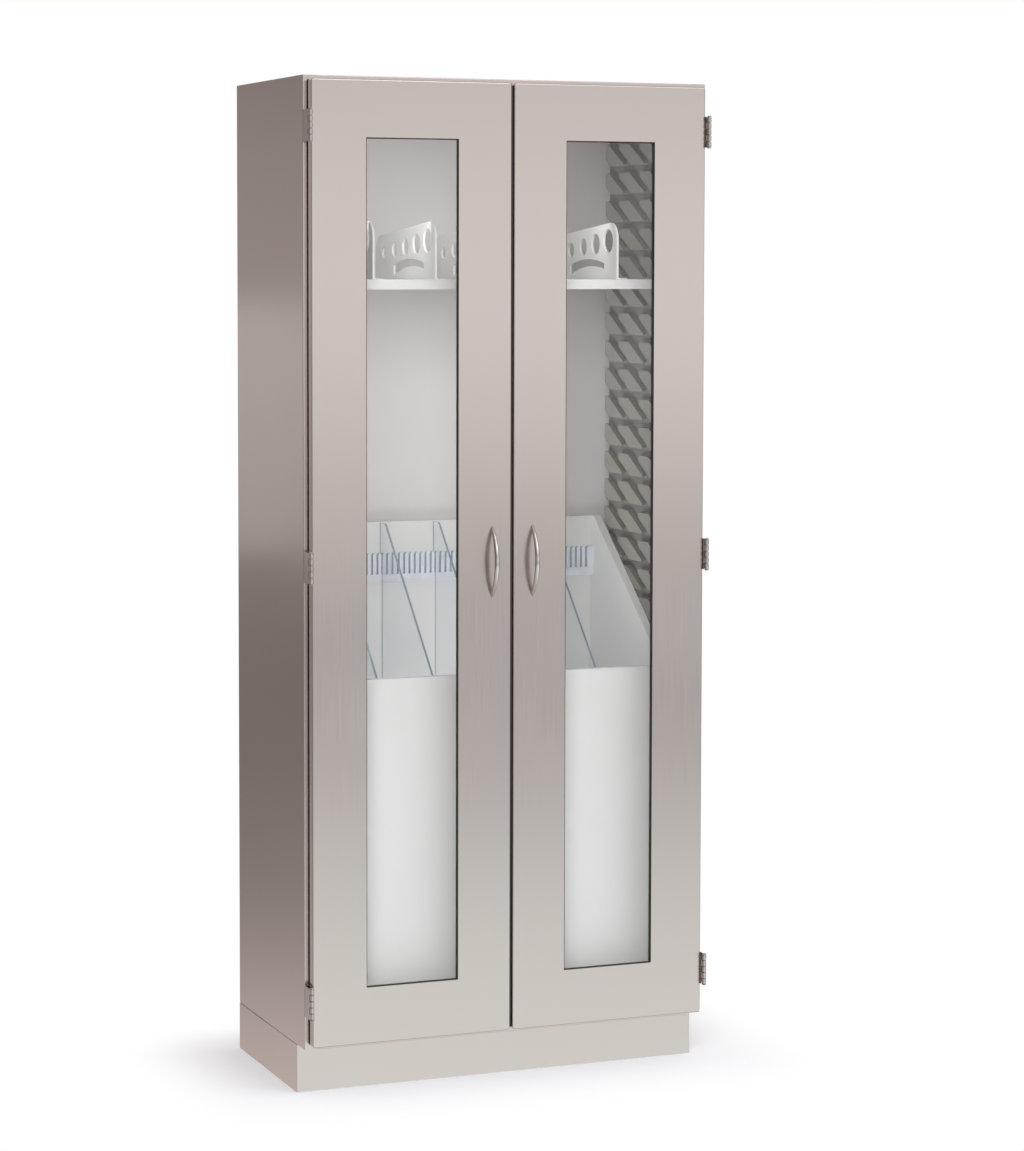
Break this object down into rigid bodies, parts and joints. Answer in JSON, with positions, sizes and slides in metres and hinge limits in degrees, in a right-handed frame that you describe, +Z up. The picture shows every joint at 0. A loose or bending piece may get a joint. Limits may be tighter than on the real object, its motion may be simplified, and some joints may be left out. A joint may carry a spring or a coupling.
{
  "type": "catheter cabinet",
  "caption": "Tall stainless-steel hospital cabinet with glazed hinged doors, a shelf with cut-out dividers and a deep tub with clear lift-out dividers for catheters.",
  "frame": {"origin": "on the floor, in the middle of the width and of the whole depth from the handles to the back", "axes": "+Z up, the doors face -Y, +X to the right for someone facing the doors"},
  "size_m": [0.9144, 0.5162, 2.1336],
  "materials": {
    "brushed_stainless": "vertical satin grain",
    "hinge_steel": "satin",
    "satin_nickel": "satin nickel",
    "zinc_screw_steel": "zinc plated",
    "liner_powder_coat": "light grey powder coat",
    "white_powder_coat": "white powder coat",
    "white_moulded_plastic": "white, satin",
    "white_tub_board": "white board, satin",
    "grey_moulded_plastic": "grey, fine texture",
    "clear_acrylic": "clear, faintly blue",
    "window_glass": "clear",
    "black_rubber": "matt black",
    "catch_plastic": "dark grey"
  },
  "bodies": {
    "cabinet": {"back_liner": "liner_powder_coat", "back_panel": "brushed_stainless", "door_bumpers": "black_rubber", "floor_panel": "brushed_stainless", "hinge_cabinet_screws": "zinc_screw_steel", "left_hinge_cabinet_leaves": "hinge_steel", "left_hinge_pins": "hinge_steel", "left_lug_panel_lower": "grey_moulded_plastic", "left_lug_panel_upper": "grey_moulded_plastic", "left_side_panel": "brushed_stainless", "lug_panel_screws": "zinc_screw_steel", "magnetic_catches": "catch_plastic", "plinth_back": "brushed_stainless", "plinth_front": "brushed_stainless", "plinth_left": "brushed_stainless", "plinth_right": "brushed_stainless", "right_hinge_cabinet_leaves": "hinge_steel", "right_hinge_pins": "hinge_steel", "right_lug_panel_lower": "grey_moulded_plastic", "right_lug_panel_upper": "grey_moulded_plastic", "right_side_panel": "brushed_stainless", "shelf": "white_powder_coat", "shelf_divider_1": "white_moulded_plastic", "shelf_divider_2": "white_moulded_plastic", "shelf_divider_3": "white_moulded_plastic", "shelf_divider_4": "white_moulded_plastic", "shelf_divider_5": "white_moulded_plastic", "top_panel": "brushed_stainless", "tub_back_wall": "white_tub_board", "tub_floor": "white_tub_board", "tub_front_comb": "clear_acrylic", "tub_front_wall": "white_tub_board", "tub_left_wall": "white_tub_board", "tub_rear_comb": "clear_acrylic", "tub_right_wall": "white_tub_board"},
    "left_door": {"left_catch_strike": "zinc_screw_steel", "left_door_back_pan": "brushed_stainless", "left_door_front_pan": "brushed_stainless", "left_door_handle": "satin_nickel", "left_handle_screws": "zinc_screw_steel", "left_hinge_door_leaves": "hinge_steel", "left_hinge_door_screws": "zinc_screw_steel", "left_meeting_gasket": "black_rubber", "left_window_gasket": "black_rubber", "left_window_glass": "window_glass"},
    "right_door": {"right_catch_strike": "zinc_screw_steel", "right_door_back_pan": "brushed_stainless", "right_door_front_pan": "brushed_stainless", "right_door_handle": "satin_nickel", "right_handle_screws": "zinc_screw_steel", "right_hinge_door_leaves": "hinge_steel", "right_hinge_door_screws": "zinc_screw_steel", "right_window_gasket": "black_rubber", "right_window_glass": "window_glass"},
    "tub_divider_1": {"tub_divider_1": "clear_acrylic"},
    "tub_divider_2": {"tub_divider_2": "clear_acrylic"},
    "tub_divider_3": {"tub_divider_3": "clear_acrylic"},
    "tub_divider_4": {"tub_divider_4": "clear_acrylic"},
    "tub_divider_5": {"tub_divider_5": "clear_acrylic"}
  },
  "joints": [
    {"name": "left_door_swing", "type": "hinge", "parent": "cabinet", "child": "left_door", "pos_m": [-0.45145, -0.2331, 1.11825], "axis": [0, 0, -1], "range_deg": [0, 180]},
    {"name": "right_door_swing", "type": "hinge", "parent": "cabinet", "child": "right_door", "pos_m": [0.45145, -0.2331, 1.11825], "axis": [0, 0, 1], "range_deg": [0, 180]},
    {"name": "tub_divider_1_lift", "type": "slide", "parent": "cabinet", "child": "tub_divider_1", "axis": [0, 0, 1], "range_m": [0, 0.4]},
    {"name": "tub_divider_2_lift", "type": "slide", "parent": "cabinet", "child": "tub_divider_2", "axis": [0, 0, 1], "range_m": [0, 0.4]},
    {"name": "tub_divider_3_lift", "type": "slide", "parent": "cabinet", "child": "tub_divider_3", "axis": [0, 0, 1], "range_m": [0, 0.4]},
    {"name": "tub_divider_4_lift", "type": "slide", "parent": "cabinet", "child": "tub_divider_4", "axis": [0, 0, 1], "range_m": [0, 0.4]},
    {"name": "tub_divider_5_lift", "type": "slide", "parent": "cabinet", "child": "tub_divider_5", "axis": [0, 0, 1], "range_m": [0, 0.4]}
  ]
}
